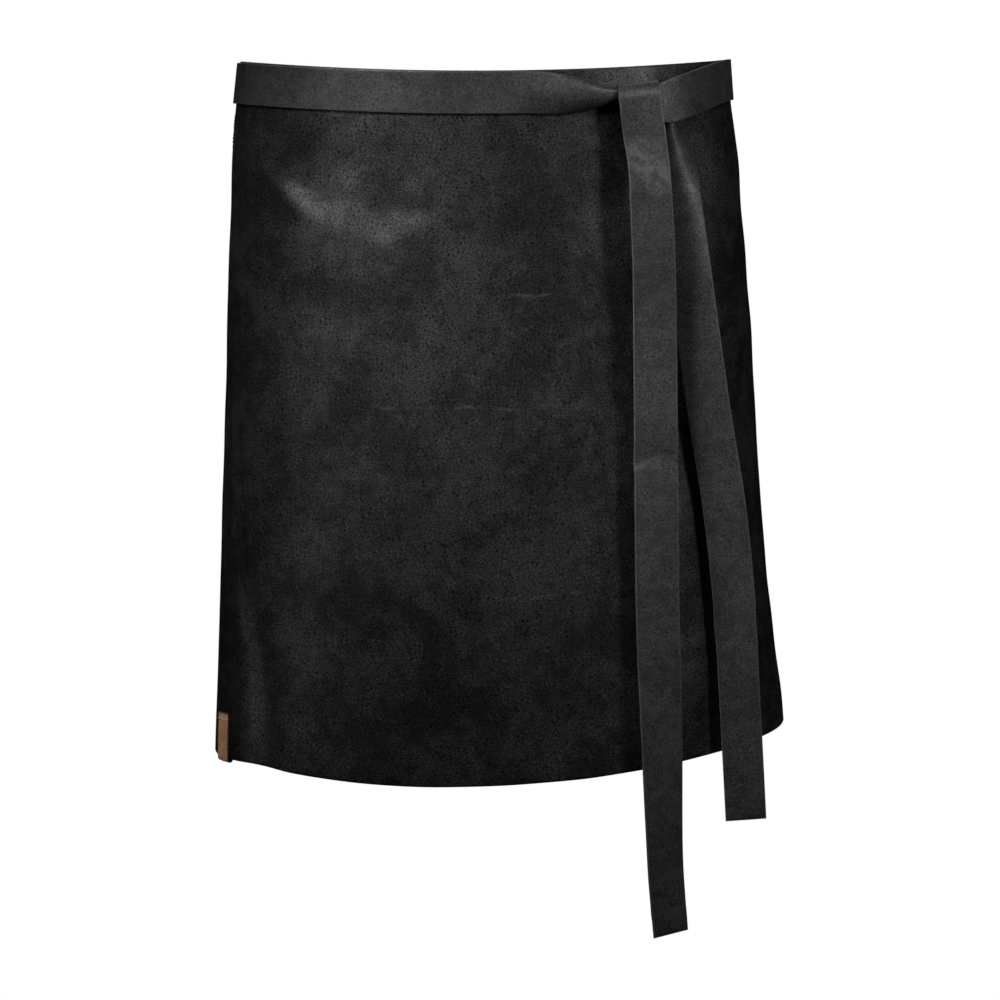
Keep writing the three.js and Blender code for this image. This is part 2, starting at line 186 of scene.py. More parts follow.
def panel_relief(round_, drop):
    """How far the panel's outer face stands off the form: folds, the shelf over the hip, and slow waves."""
    round_ = np.asarray(round_, float)
    down = np.clip(drop, FOLD[0, 0], PANEL_DROP)
    line, wide, tall = (curve(FOLD[:, 0], FOLD[:, k], down) for k in (1, 2, 3))
    off = (round_ - line) / wide
    high = tall * (np.exp(-((off + 1) ** 2)) - np.exp(-((off - 1) ** 2)))
    at = np.clip(round_, SHELF[0, 0], SHELF[-1, 0])
    begins, ends, tall = (curve(SHELF[:, 0], SHELF[:, k], at) for k in (1, 2, 3))
    step = smooth((drop - begins) / (ends - begins))
    step = step - DRAWN_SHARE * smooth((drop - DRAWN_IN[0]) / (DRAWN_IN[1] - DRAWN_IN[0]))
    high = high + tall * step * (1 - smooth((drop - DIES_OUT[0]) / (DIES_OUT[1] - DIES_OUT[0])))
    waves = np.zeros_like(round_)
    for length, way, phase in WAVES:
        reach = round_ * math.cos(way) + drop * math.sin(way)
        waves = waves + WAVE_HEIGHT * np.cos(2 * math.pi * reach / length + phase)
    grown = (1 - CALM_SHARE) * smooth((drop - CALM_DROP) / CALM_TOP)
    grown = grown * smooth((round_ - PANEL_LEFT) / CALM_SIDE) * smooth((PANEL_RIGHT - round_) / CALM_SIDE)
    return high + waves * (CALM_SHARE + grown)


# Rows of points down a cut edge, as shares of the thickness off its middle.
CUT_ROWS = (0.3, 0.0, -0.3)


def leather_sheet(name, middle, facing, flat, edge, thick, soften=0.45):
    """Closed sheet on a grid of middle points in mm: a grain face, a flesh face and a cut edge all round, set
    back at both faces by soften. flat is each point's place on the flat hide, kept as UVs in metres, and edge
    its distance from the cut."""
    rows, cols = middle.shape[:2]
    rim = (
        [(0, j) for j in range(cols)]
        + [(i, cols - 1) for i in range(1, rows)]
        + [(rows - 1, j) for j in range(cols - 2, -1, -1)]
        + [(i, 0) for i in range(rows - 2, 0, -1)]
    )
    ri, rj = np.array(rim).T
    outward = np.zeros((len(rim), 3))
    flat_out = np.zeros((len(rim), 2))
    inward = [(ri == 0, 1, 0), (ri == rows - 1, -1, 0), (rj == 0, 0, 1), (rj == cols - 1, 0, -1)]
    for at_rim, di, dj in inward:
        i, j = ri[at_rim], rj[at_rim]
        outward[at_rim] += unit(middle[i, j] - middle[i + di, j + dj])
        flat_out[at_rim] += unit(flat[i, j] - flat[i + di, j + dj])
    faces_of = []
    for side in (0.5, -0.5):
        face = middle + facing * thick * side
        face[ri, rj] -= outward * soften
        faces_of.append(face.reshape(-1, 3))
    cut = middle[ri, rj]
    rims = [cut + facing[ri, rj] * thick * share for share in CUT_ROWS]
    spots = np.concatenate(faces_of + rims)
    grid = np.arange(rows * cols).reshape(rows, cols)
    a, b, c, d = grid[:-1, :-1], grid[1:, :-1], grid[1:, 1:], grid[:-1, 1:]
    outer = np.stack([a, b, c, d], axis=-1).reshape(-1, 4)
    inner = np.stack([a, d, c, b], axis=-1).reshape(-1, 4) + rows * cols
    loops = [grid[ri, rj]]
    loops += [2 * rows * cols + k * len(rim) + np.arange(len(rim)) for k in range(len(CUT_ROWS))]
    loops += [grid[ri, rj] + rows * cols]
    sides = [
        np.stack([one, np.roll(one, -1), np.roll(two, -1), two], axis=-1)
        for one, two in zip(loops[:-1], loops[1:])
    ]
    quads = np.concatenate([outer, inner] + sides)
    mesh = bpy.data.meshes.new(name)
    mesh.from_pydata((spots * MM).tolist(), [], quads.tolist())
    mesh.polygons.foreach_set("use_smooth", np.ones(len(quads), bool))
    kind = np.repeat([0, 1, 2], [len(outer), len(inner), len(quads) - len(outer) - len(inner)])
    mesh.polygons.foreach_set("material_index", kind.astype(np.int32))
    on_face = flat.copy()
    on_face[ri, rj] -= flat_out * soften
    on_face = on_face.reshape(-1, 2)
    on_hide = np.concatenate([on_face, on_face] + [flat[ri, rj]] * len(CUT_ROWS)) * MM
    uv = mesh.uv_layers.new(name="flat")
    uv.data.foreach_set("uv", on_hide[quads.ravel()].astype(np.float32).ravel())
    near = np.concatenate([edge.ravel(), edge.ravel(), np.zeros(len(CUT_ROWS) * len(rim))])
    mesh.attributes.new("edge", "FLOAT", "POINT").data.foreach_set("value", near.astype(np.float32))
    mesh.update()
    made = bpy.data.objects.new(name, mesh)
    bpy.context.scene.collection.objects.link(made)
    return made


def put(tree, kind, sockets=None, **settings):
    """Adds a node to a tree, with its settings, and with its sockets set or linked."""
    node = tree.nodes.new("ShaderNode" + kind)
    for key, value in settings.items():
        setattr(node, key, value)
    for key, value in (sockets or {}).items():
        if isinstance(value, bpy.types.NodeSocket):
            tree.links.new(value, node.inputs[key])
        else:
            node.inputs[key].default_value = value
    return node


def work_out(tree, operation, a, b=0.0):
    return put(tree, "Math", {0: a, 1: b}, operation=operation).outputs[0]


def ramp(tree, value, low, high, to_low=0.0, to_high=1.0):
    sockets = {0: value, 1: low, 2: high, 3: to_low, 4: to_high}
    return put(tree, "MapRange", sockets, interpolation_type="SMOOTHSTEP").outputs[0]


def tint(tree, share, one, other):
    return put(tree, "Mix", {0: share, 6: one, 7: other}, data_type="RGBA").outputs[2]


def start_group(name, takes, gives):
    """A shader node group with named sockets, as (tree, what it takes, what it gives)."""
    tree = bpy.data.node_groups.new(name, "ShaderNodeTree")
    for socket, kind, value in takes:
        made = tree.interface.new_socket(name=socket, in_out="INPUT", socket_type="NodeSocket" + kind)
        if value is not None:
            made.default_value = value
    for socket, kind in gives:
        tree.interface.new_socket(name=socket, in_out="OUTPUT", socket_type="NodeSocket" + kind)
    return tree, tree.nodes.new("NodeGroupInput").outputs, tree.nodes.new("NodeGroupOutput").inputs


def wander_group():
    """Places on the hide shifted a little this way and that, so that lines drawn there wander."""
    takes = [("Flat", "Vector", None), ("Bends", "Float", 40.0), ("Reach", "Float", 0.01)]
    tree, takes, gives = start_group("hide wander", takes, [("Bent", "Vector")])
    sockets = {"Vector": takes["Flat"], "Scale": takes["Bends"], "Detail": 2.0}
    shake = put(tree, "TexNoise", sockets, noise_dimensions="2D").outputs["Color"]
    off = put(tree, "VectorMath", {0: shake, 1: (0.5, 0.5, 0.5)}, operation="SUBTRACT").outputs[0]
    shift = put(tree, "VectorMath", {0: off, "Scale": takes["Reach"]}, operation="SCALE").outputs[0]
    bent = put(tree, "VectorMath", {0: takes["Flat"], 1: shift}, operation="ADD").outputs[0]
    tree.links.new(bent, gives["Bent"])
    return tree


hide_wander = wander_group()


# Wrinkles of the grain: the three ways they lie, in radians, how much they are drawn out, their bends and
# their patches of one way per metre, and how far a bend shifts them in m.
WRINKLE_WAYS = (-0.6, 0.55, 1.45)
WRINKLE_PULL = (0.22, 1.0, 1.0)
WRINKLE_BENDS, WRINKLE_PATCHES, WRINKLE_SHIFT = 60.0, 60.0, 0.005


def grain_group():
    """Grain of a full-grain hide: short hair-thin wrinkles that lie three ways, mixed patch by patch."""
    takes = [("Flat", "Vector", None), ("Wrinkles", "Float", 1000.0)]
    tree, takes, gives = start_group("hide grain", takes, [("Height", "Float")])
    sockets = {"Flat": takes["Flat"], "Bends": WRINKLE_BENDS, "Reach": WRINKLE_SHIFT}
    bent = put(tree, "Group", sockets, node_tree=hide_wander).outputs["Bent"]
    ways = []
    for way in WRINKLE_WAYS:
        sockets = {"Vector": bent, "Angle": way}
        turned = put(tree, "VectorRotate", sockets, rotation_type="Z_AXIS").outputs[0]
        pulled = put(tree, "VectorMath", {0: turned, 1: WRINKLE_PULL}, operation="MULTIPLY").outputs[0]
        sockets = {"Vector": pulled, "Scale": takes["Wrinkles"], "Detail": 1.0, "Roughness": 0.5}
        ways.append(put(tree, "TexNoise", sockets, noise_dimensions="2D").outputs["Fac"])
    sockets = {"Vector": takes["Flat"], "Scale": WRINKLE_PATCHES, "Detail": 1.0}
    patch = put(tree, "TexNoise", sockets, noise_dimensions="2D").outputs["Color"]
    parts = put(tree, "SeparateColor", {0: patch}).outputs
    second = ramp(tree, parts[0], 0.48, 0.52)
    third = ramp(tree, parts[1], 0.57, 0.61)
    mixed = put(tree, "Mix", {0: second, 2: ways[0], 3: ways[1]}).outputs[0]
    mixed = put(tree, "Mix", {0: third, 2: mixed, 3: ways[2]}).outputs[0]
    tree.links.new(ramp(tree, mixed, 0.24, 0.74), gives["Height"])
    return tree


# Small clouds to a broad one, and their share in the tone.
CLOUDS_FINER, SMALL_CLOUDS = 5.5, 0.42


def clouds_group():
    """Cloudy wax bloom on an oiled hide: broad pale patches broken up by smaller ones."""
    takes = [("Flat", "Vector", None), ("Patches", "Float", 16.0)]
    tree, takes, gives = start_group("wax clouds", takes, [("Tone", "Float")])
    sockets = {"Vector": takes["Flat"], "Scale": takes["Patches"], "Detail": 4.0, "Roughness": 0.6}
    broad = put(tree, "TexNoise", {**sockets, "Distortion": 0.4}, noise_dimensions="2D").outputs["Fac"]
    finer = work_out(tree, "MULTIPLY", takes["Patches"], CLOUDS_FINER)
    sockets = {"Vector": takes["Flat"], "Scale": finer, "Detail": 3.0, "Roughness": 0.6}
    small = put(tree, "TexNoise", sockets, noise_dimensions="2D").outputs["Fac"]
    both = put(tree, "Mix", {0: SMALL_CLOUDS, 2: broad, 3: small}).outputs[0]
    tree.links.new(ramp(tree, both, 0.37, 0.63), gives["Tone"])
    return tree


# Share of a stroke's length over which each end fades.
STROKE_FADE = 0.25


def stroke_group():
    """One stroke on the hide between two places that fades all round. Strokes mark folds, creases, scrapes
    and scuffs, and some are painted highlights and painted shade.
    """
    takes = [("Flat", "Vector", None), ("From", "Vector", None), ("To", "Vector", None)]
    takes += [("Wide", "Float", 0.0016)]
    tree, takes, gives = start_group("stroke", takes, [("Stroke", "Float")])
    span = put(tree, "VectorMath", {0: takes["To"], 1: takes["From"]}, operation="SUBTRACT").outputs[0]
    here = put(tree, "VectorMath", {0: takes["Flat"], 1: takes["From"]}, operation="SUBTRACT").outputs[0]
    reach = put(tree, "VectorMath", {0: here, 1: span}, operation="DOT_PRODUCT").outputs["Value"]
    whole = put(tree, "VectorMath", {0: span, 1: span}, operation="DOT_PRODUCT").outputs["Value"]
    share = put(tree, "Math", {0: reach, 1: whole}, operation="DIVIDE", use_clamp=True).outputs[0]
    foot = put(tree, "VectorMath", {0: span, "Scale": share}, operation="SCALE").outputs[0]
    away = put(tree, "VectorMath", {0: here, 1: foot}, operation="DISTANCE").outputs["Value"]
    line = ramp(tree, work_out(tree, "DIVIDE", away, takes["Wide"]), 0.0, 1.0, 1.0, 0.0)
    begins = ramp(tree, share, 0.0, STROKE_FADE)
    ends = ramp(tree, share, 1 - STROKE_FADE, 1.0, 1.0, 0.0)
    line = work_out(tree, "MULTIPLY", line, work_out(tree, "MULTIPLY", begins, ends))
    tree.links.new(line, gives["Stroke"])
    return tree


hide_grain = grain_group()
wax_clouds = clouds_group()
hide_stroke = stroke_group()


def start_material(name, settings):
    """A new material as (material, tree, shader), with what is the same all over set on the shader."""
    material = bpy.data.materials.new(name)
    material.use_nodes = True
    shader = material.node_tree.nodes["Principled BSDF"]
    for socket, value in settings.items():
        shader.inputs[socket].default_value = value
    return material, material.node_tree, shader


# Bends and breaks of the strokes per metre, and how far a bend shifts them in m.
STROKE_BENDS, STROKE_BREAKS, STROKE_SHIFT = 34.0, 150.0, 0.011


def add_strokes(tree, flat, strokes):
    """Mask of several strokes, broken up along their length: (from, to, half-width, strength), in mm."""
    sockets = {"Flat": flat, "Bends": STROKE_BENDS, "Reach": STROKE_SHIFT}
    bent = put(tree, "Group", sockets, node_tree=hide_wander).outputs["Bent"]
    mask = 0.0
    for start, stop, wide, strength in strokes:
        first, last = (start[0] * MM, start[1] * MM, 0), (stop[0] * MM, stop[1] * MM, 0)
        sockets = {"Flat": bent, "From": first, "To": last, "Wide": wide * MM}
        stroke = put(tree, "Group", sockets, node_tree=hide_stroke).outputs["Stroke"]
        mask = work_out(tree, "MAXIMUM", work_out(tree, "MULTIPLY", stroke, strength), mask)
    sockets = {"Vector": flat, "Scale": STROKE_BREAKS, "Detail": 2.0}
    breaks = put(tree, "TexNoise", sockets, noise_dimensions="2D").outputs["Fac"]
    return work_out(tree, "MULTIPLY", mask, ramp(tree, breaks, 0.38, 0.6, 0.2, 1.0))


# The bare hide's shine, the colours of strokes and of scuffs and painted shade beside the hide's own, how
# much the wax and the grain change its roughness, and how much thicker and thinner the film of wax gets from
# cloud to cloud.
HIDE_SHINE = 0.06
STROKE_PALER, SCUFF_AND_SHADE_DARKER = 2.6, 0.2
WAX_SMOOTHS, GRAIN_ROUGHENS = 0.07, 0.06
FILM_CHANGE = 0.16


def grain_leather(
    name, dark, pale, wrinkles, contrast, patches, rough, wax, strokes, scuffs_and_shade, edge_tone, edge_wide, relief
):
    """Grain side of waxed black hide. wrinkles and patches count the wrinkles and wax clouds in a metre,
    contrast is how strongly the wrinkles show, wax is the weight of the film, strokes are pale lines, some of
    them painted highlights, scuffs_and_shade are dark lines of scuffs and of painted shade, edge_tone is the
    colour within edge_wide mm of the cut, and relief the grain's height in m."""
    settings = {"Specular IOR Level": HIDE_SHINE, "Coat Roughness": rough}
    material, tree, shader = start_material(name, settings)
    flat = put(tree, "UVMap", uv_map="flat").outputs[0]
    grain = put(tree, "Group", {"Flat": flat, "Wrinkles": wrinkles}, node_tree=hide_grain).outputs["Height"]
    tone = put(tree, "Group", {"Flat": flat, "Patches": patches}, node_tree=wax_clouds).outputs["Tone"]
    line = add_strokes(tree, flat, strokes)
    colour = tint(tree, tone, (*dark, 1), (*pale, 1))
    shade = ramp(tree, grain, 0.0, 1.0, 1 - contrast, 1 + contrast)
    colour = put(tree, "VectorMath", {0: colour, "Scale": shade}, operation="SCALE").outputs[0]
    colour = tint(tree, line, colour, (*(STROKE_PALER * x for x in pale), 1))
    # Dark strokes darken the colour: real scuffs, and painted shade in creases and on the dark side of folds.
    if scuffs_and_shade:
        scuffed_and_shaded = (*(SCUFF_AND_SHADE_DARKER * x for x in dark), 1)
        colour = tint(tree, add_strokes(tree, flat, scuffs_and_shade), colour, scuffed_and_shaded)
    edge = put(tree, "Attribute", attribute_name="edge").outputs["Fac"]
    worn = ramp(tree, edge, 0.0, edge_wide, 1.0, 0.0)
    colour = tint(tree, worn, colour, (*edge_tone, 1))
    tree.links.new(colour, shader.inputs["Base Color"])
    gloss = work_out(tree, "MULTIPLY", tone, -WAX_SMOOTHS)
    gloss = work_out(tree, "ADD", gloss, rough + WAX_SMOOTHS / 2)
    gloss = work_out(tree, "ADD", gloss, ramp(tree, grain, 0.15, 0.85, -GRAIN_ROUGHENS, GRAIN_ROUGHENS))
    tree.links.new(gloss, shader.inputs["Roughness"])
    film = ramp(tree, tone, 0.0, 1.0, (1 - FILM_CHANGE) * wax, (1 + FILM_CHANGE) * wax)
    film = work_out(tree, "MULTIPLY", shade, film)
    tree.links.new(film, shader.inputs["Coat Weight"])
    bump = put(tree, "Bump", {"Strength": 1.0, "Distance": relief, "Height": grain})
    tree.links.new(bump.outputs["Normal"], shader.inputs["Normal"])
    return material


def flesh_leather(name, dark, pale):
    """Flesh side of the hide: short dark nap, brushed in patches, with no gloss."""
    material, tree, shader = start_material(
        name, {"Specular IOR Level": 0.15, "Sheen Weight": 0.12, "Sheen Roughness": 0.5}
    )
    flat = put(tree, "UVMap", uv_map="flat").outputs[0]
    tone = put(tree, "Group", {"Flat": flat, "Patches": 24.0}, node_tree=wax_clouds).outputs["Tone"]
    sockets = {"Vector": flat, "Scale": 900.0, "Detail": 4.0, "Roughness": 0.7}
    nap = put(tree, "TexNoise", sockets, noise_dimensions="2D").outputs["Fac"]
    colour = tint(tree, tone, (*dark, 1), (*pale, 1))
    colour = tint(tree, ramp(tree, nap, 0.3, 0.5, 0.55, 0.0), colour, (*(0.4 * x for x in dark), 1))
    tree.links.new(colour, shader.inputs["Base Color"])
    tree.links.new(ramp(tree, nap, 0.2, 0.8, 0.98, 0.84), shader.inputs["Roughness"])
    bump = put(tree, "Bump", {"Strength": 0.8, "Distance": 0.0003, "Height": nap})
    tree.links.new(bump.outputs["Normal"], shader.inputs["Normal"])
    return material


def cut_leather(name, dark, pale):
    """Raw cut edge: the fibres of the hide in section, in fine layers along the cut."""
    material, tree, shader = start_material(name, {"Specular IOR Level": 0.2})
    where = put(tree, "TexCoord").outputs["Object"]
    fibres = put(tree, "TexNoise", {"Vector": where, "Scale": 1500.0, "Detail": 3.0}).outputs["Fac"]
    along = put(tree, "TexNoise", {"Vector": where, "Scale": 60.0, "Detail": 2.0}).outputs["Fac"]
    share = work_out(tree, "MULTIPLY", ramp(tree, fibres, 0.3, 0.7), ramp(tree, along, 0.3, 0.7, 0.4, 1.0))
    tree.links.new(tint(tree, share, (*dark, 1), (*pale, 1)), shader.inputs["Base Color"])
    tree.links.new(ramp(tree, fibres, 0.2, 0.8, 0.95, 0.75), shader.inputs["Roughness"])
    bump = put(tree, "Bump", {"Strength": 0.7, "Distance": 0.0003, "Height": fibres})
    tree.links.new(bump.outputs["Normal"], shader.inputs["Normal"])
    return material


# Pale strokes on the panel: level ones where it lay folded in store, slanting ones where it creased below the
# shelf, a scrape, and the line of the fold at the left. The dark strokes are painted shade on the valley side
# of that fold.
PANEL_STROKES = [
    ((-20, 161), (95, 161), 1.8, 0.8),
    ((-110, 241), (90, 241), 2.2, 0.8),
    ((-10, 380), (120, 380), 1.8, 0.8),
    ((-97, 131), (-38, 96), 1.7, 0.6),
    ((-92, 129), (-36, 166), 1.5, 0.5),
    ((-80, 57), (-79, 85), 0.9, 0.5),
    ((-120, 300), (-30, 268), 2.0, 0.4),
    ((-60, 235), (-10, 262), 1.5, 0.4),
    ((-206, 250), (-198, 388), 1.6, 0.5),
    ((-198, 374), (-183, 450), 2.4, 0.5),
    ((-182, 430), (-180, 525), 3.4, 0.45),
]
# Painted shade: dark strokes on the valley side of the fold at the left.
PANEL_FOLD_SHADE = [
    ((-195, 376), (-186, 404), 2.2, 0.9),
    ((-189, 390), (-170, 440), 2.0, 0.6),
]
panel_round = np.linspace(PANEL_LEFT, PANEL_RIGHT, PANEL_COLUMNS + 1)
panel_drop = np.linspace(0, PANEL_DROP, PANEL_ROWS + 1)
panel_facing = np.stack([compass(panel_round, d)[1] for d in panel_drop])
panel_middle = np.stack([
    form(panel_round, d) + panel_facing[k] * (panel_relief(panel_round, d) - LEATHER / 2)[:, None]
    for k, d in enumerate(panel_drop)
])
panel_flat = np.stack(np.meshgrid(panel_round, panel_drop), axis=-1)
panel_edge = np.minimum(
    np.minimum(panel_flat[..., 0] - PANEL_LEFT, PANEL_RIGHT - panel_flat[..., 0]),
    np.minimum(panel_flat[..., 1], PANEL_DROP - panel_flat[..., 1]),
)
# The face looks the way of the relief too, not only of the form under it.
panel_slope = np.cross(np.gradient(panel_middle, axis=0), np.gradient(panel_middle, axis=1))
panel = leather_sheet("panel_hide", panel_middle, unit(panel_slope), panel_flat, panel_edge, LEATHER)
panel.data.materials.append(
    grain_leather(
        "waxed black hide",
        dark=(0.005, 0.005, 0.005),
        pale=(0.0155, 0.0155, 0.0155),
        wrinkles=1950.0,
        contrast=0.85,
        patches=16.0,
        rough=0.4,
        wax=0.5,
        strokes=PANEL_STROKES,
        scuffs_and_shade=PANEL_FOLD_SHADE,
        edge_tone=(0.008, 0.008, 0.008),
        edge_wide=1.2,
        relief=0.0001,
    )
)
panel.data.materials.append(flesh_leather("panel flesh side", (0.012, 0.012, 0.012), (0.03, 0.03, 0.03)))
panel.data.materials.append(cut_leather("panel cut edge", (0.006, 0.006, 0.006), (0.02, 0.02, 0.02)))
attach(panel, "root")
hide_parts("apron_panel")

# Left tie: a 30 mm strap of the same hide, cut with raw edges and sewn inside the panel's right rear corner.
# It goes round the back and the left side, over the front, rolls up into the half knot, and hangs down behind
# the other tie.

# How far out a strap's middle lies where it is drawn round the panel, and where it is sewn inside it.
LAID, SEWN = 1.6, -3.3
# Pieces across a strap, and pieces of the mesh to each piece along a row of its table.
TIE_SPLITS = 26
TIE_FINER = 4
# A row is a place of the middle line (round, out, drop), the way its width points (aside, fore, rise), its
# width, how far its edges roll in, in degrees, and the pieces up to the next row.
LEFT_TIE = np.array([
    (-645, SEWN, 52, 0, 0, 1, 30, 0, 4),
    (-592, SEWN, 51, 0, 0, 1, 30, 0, 4),
    (-545, -0.6, 49, 0, 0, 1, 30, 0, 5),
    (-431, -0.8, 33, 0, 0, 1, 30, 0, 5),
    (-340, -0.6, 18.5, 0, 0, 1, 30, 0, 4),
    (-288, LAID, 16.6, 0, 0, 1, 30, 0, 13),
    (-140, LAID, 16, 0, 0, 1, 30, 0, 6),
    (0, LAID, 15.8, 0, 0, 1, 30, 3, 2),
    (26, 2.6, 15.9, 0, 0, 1, 30, 20, 2),
    (43, 4.6, 16.9, 0, 0, 1, 30, 45, 2),
    (54, 7, 17.8, 0, 0, 1, 30, 85, 2),
    (63.5, 9, 18.7, 0, 0, 1, 30, 120, 2),
    (72.5, 10.8, 19.5, 0, 0, 1, 30, 160, 2),
    (80.5, 12.3, 20.3, 0, 0, 1, 29, 220, 2),
    (86.5, 13, 20.4, 0, 0, 1, 27, 290, 2),
    (92, 13.3, 20.2, 0, 0, 1, 23.5, 335, 2),
    (107.5, 13.4, 20.2, 0, 0, 1, 23, 345, 2),
    (117.5, 13.6, 20.8, 0, 0, 1, 25, 345, 2),
    (125, 13.9, 23.2, 0.5, 0, 0.87, 25.5, 340, 2),
    (130.3, 14, 28.7, 0.87, 0, 0.5, 26, 330, 2),
    (132.3, 14, 36, 1, 0, 0, 27, 310, 2),
    (132.5, 14, 46, 1, 0, 0, 29, 250, 3),
    (134.2, 13.6, 59, 1, 0.2, 0, 30, 145, 2),
    (135.4, 13.6, 70, 1, 0.3, 0, 31, 105, 2),
    (137.4, 14, 85, 1, 0.4, 0, 31, 75, 2),
    (138.6, 14.6, 100.5, 1, 0.46, 0, 31, 50, 3),
    (147.1, 17.4, 174.8, 1, 0.56, 0, 31, 20, 4),
    (157.6, 18.5, 252.2, 1, 0.62, 0, 31.5, 6, 4),
    (170.7, 18.5, 328.9, 1, 0.7, 0, 31.5, 6, 4),
    (179.7, 18, 405.8, 1, 0.7, 0, 31, 6, 4),
    (184.5, 17.5, 481.6, 1, 0.64, 0, 30, 6, 4),
    (189.7, 17, 568.9, 1, 0.54, 0, 30, 6, 1),
])


# The step that gives a strap's direction, and the roll in radians below which it lies flat.
STRAP_NUDGE, FLAT_ROLL = 0.1, 1e-4


def strap(name, table, marks):
    """A leather strap along the rows of its table. marks are dents pressed across it: run from its free end,
    depth and half-length, all in mm. Returns the strap and its length."""
    run = np.concatenate([[0.0], np.cumsum(np.linalg.norm(np.diff(table[:, :3], axis=0), axis=1))])
    read = [lambda at, k=k: curve(run, table[:, k], at) for k in range(8)]

    def dent(at):
        return sum(-deep * np.exp(-(((run[-1] - at - back) / half) ** 2)) for back, deep, half in marks)

    def middle_at(at):
        return place(read[0](at), read[1](at) + dent(at), float(read[2](at)))

    stops = [
        np.linspace(run[k], run[k + 1], int(table[k, 8]) * TIE_FINER, endpoint=False)
        for k in range(len(table) - 1)
    ]
    stops = np.concatenate(stops + [run[-1:]])
    part = np.linspace(-0.5, 0.5, TIE_SPLITS + 1)
    middles, looks, wides = [], [], []
    for at in stops:
        along, out, up = compass(read[0](at), float(read[2](at)))
        way = unit(middle_at(min(run[-1], at + STRAP_NUDGE)) - middle_at(max(0.0, at - STRAP_NUDGE)))
        width = along * read[3](at) + out * read[4](at) + up * read[5](at)
        width = unit(width - way * (width @ way))
        face = np.cross(way, width)
        wide, curl = float(read[6](at)), math.radians(float(read[7](at)))
        rolled = curl > FLAT_ROLL
        angle = part * curl
        side = wide / curl * np.sin(angle) if rolled else part * wide
        sink = wide / curl * (1 - np.cos(angle)) if rolled else 0 * part
        middles.append(middle_at(at) + side[:, None] * width - sink[:, None] * face)
        looks.append(np.cos(angle)[:, None] * face + np.sin(angle)[:, None] * width)
        wides.append(wide)
    middles, looks, wides = np.array(middles), np.array(looks), np.array(wides)
    steps = np.linalg.norm(np.diff(middles[:, TIE_SPLITS // 2], axis=0), axis=1)
    length = np.concatenate([[0.0], np.cumsum(steps)])
    flat = np.stack(np.broadcast_arrays(part * wides[:, None], length[:, None]), axis=-1)
    ends = np.minimum(length, length[-1] - length)[:, None]
    edge = np.minimum((0.5 - np.abs(part)) * wides[:, None], ends)
    return leather_sheet(name, middles, looks, flat, edge, LEATHER), length[-1]


def strap_leather(name, strokes, scuffs_and_shade):
    """Grain side of a strap: the panel's hide, paler and more even, with a paler band along its cut edges."""
    return grain_leather(
        name,
        dark=(0.021, 0.021, 0.021),
        pale=(0.032, 0.032, 0.032),
        wrinkles=1950.0,
        contrast=0.5,
        patches=22.0,
        rough=0.4,
        wax=0.55,
        strokes=strokes,
        scuffs_and_shade=scuffs_and_shade,
        edge_tone=(0.06, 0.06, 0.06),
        edge_wide=0.7,
        relief=0.00006,
    )


strap_flesh = flesh_leather("strap flesh side", (0.016, 0.016, 0.016), (0.034, 0.034, 0.034))
strap_cut = cut_leather("strap cut edge", (0.03, 0.03, 0.03), (0.11, 0.108, 0.105))
LEFT_MARKS = [(150, 0.7, 9)]
left_tie, left_long = strap("left_strap", LEFT_TIE, LEFT_MARKS)
LEFT_STROKES = [
    ((-9, 590), (6, 598), 1.2, 0.5),
    ((-10, 620), (8, 621), 1.2, 0.5),
    ((-12, left_long - 210), (12, left_long - 214), 2.5, 0.45),
    ((-13, left_long - 22), (13, left_long - 30), 1.6, 0.5),
]
left_grain = strap_leather("left strap hide", LEFT_STROKES, [])
for finish in (left_grain, strap_flesh, strap_cut):
    left_tie.data.materials.append(finish)
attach(left_tie, "root")
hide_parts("left_tie")

# Right tie: the matching strap of the same hide, sewn inside the panel's left rear corner. It comes round the
# right side, goes in front of the other tie, once round it from below, and hangs in front as the longer end.

